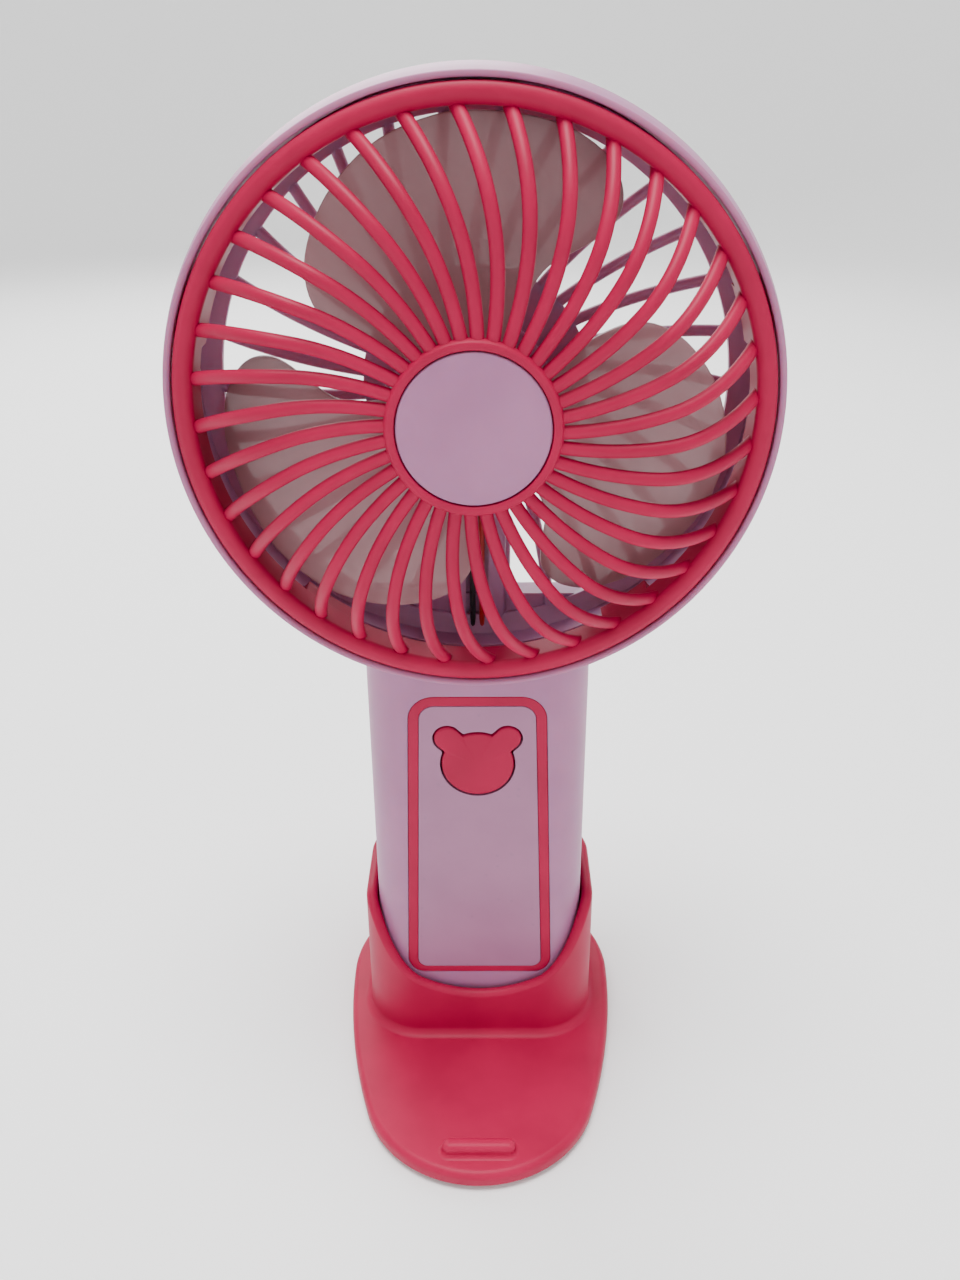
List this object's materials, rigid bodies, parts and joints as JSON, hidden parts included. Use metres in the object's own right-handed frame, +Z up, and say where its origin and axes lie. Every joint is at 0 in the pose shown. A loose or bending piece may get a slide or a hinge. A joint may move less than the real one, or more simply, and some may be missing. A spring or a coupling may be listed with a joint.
{
  "type": "handheld electric fan",
  "caption": "Round fan head with a swirled front grille and translucent impeller on a round-cornered handle, standing in a socketed phone stand.",
  "frame": {"origin": "on the ground under the middle of the handle, on the underside of the stand's anti-slip pad", "axes": "+Z up along the handle, -Y the way the fan blows, +X to the right of someone looking at the front grille"},
  "size_m": [0.105, 0.0874, 0.1945],
  "materials": {
    "crimson_plastic": "satin moulded crimson plastic",
    "lavender_plastic": "satin moulded lavender plastic",
    "smoky_plastic": "smoky see-through moulded plastic",
    "grip_rubber": "fine textured soft rubber",
    "black_plastic": "matt moulded plastic",
    "steel": "plated steel",
    "board_green": "solder-masked glass fibre board",
    "led_lens": "milky lens",
    "cell_wrap": "shrink-wrapped cell",
    "foam": "closed-cell foam",
    "magnet": "sintered ferrite and laminated iron",
    "white_plastic": "heat-proof nylon",
    "bronze": "sintered bronze and brass",
    "copper_wire": "enamelled copper wire",
    "red_sleeve": "soft PVC sleeve",
    "black_sleeve": "soft PVC sleeve"
  },
  "bodies": {
    "stand": {"stand": "crimson_plastic", "stand_grip_pad": "grip_rubber"},
    "fan": {"front_shell": "lavender_plastic", "rear_shell": "lavender_plastic", "panel_trim": "crimson_plastic", "panel_plate": "lavender_plastic", "switch_body": "steel", "circuit_board": "board_green", "board_parts": "black_plastic", "charge_led": "led_lens", "usb_socket_shell": "steel", "usb_socket_tongue": "black_plastic", "battery_cell": "cell_wrap", "battery_tabs": "steel", "battery_foam": "foam", "shell_screws": "steel", "motor_cover": "lavender_plastic", "motor_screws": "steel", "motor_can": "steel", "motor_magnets": "magnet", "motor_endcap": "white_plastic", "motor_bushings": "bronze", "motor_brushes": "bronze", "motor_lead_red": "red_sleeve", "motor_lead_black": "black_sleeve"},
    "grille": {"front_grille": "crimson_plastic", "grille_cap": "lavender_plastic"},
    "rotor": {"impeller": "smoky_plastic", "motor_shaft": "steel", "armature_core": "magnet", "armature_windings": "copper_wire", "commutator": "bronze"},
    "button": {"power_button": "crimson_plastic", "switch_plunger": "black_plastic"}
  },
  "joints": [
    {"name": "lift_out", "type": "slide", "parent": "stand", "child": "fan", "axis": [0, 0, 1], "range_m": [0, 0.06]},
    {"name": "impeller_spin", "type": "hinge", "parent": "fan", "child": "rotor", "pos_m": [0, -0.009, 0.142], "axis": [0, 1, 0], "continuous": true},
    {"name": "grille_twist", "type": "hinge", "parent": "fan", "child": "grille", "pos_m": [0, -0.009, 0.142], "axis": [0, -1, 0], "range_deg": [0, 14]},
    {"name": "button_press", "type": "slide", "parent": "fan", "child": "button", "axis": [0, 1, 0], "range_m": [0, 0.0008], "stiffness_N_per_m": 1200, "springref_m": -0.0003}
  ]
}
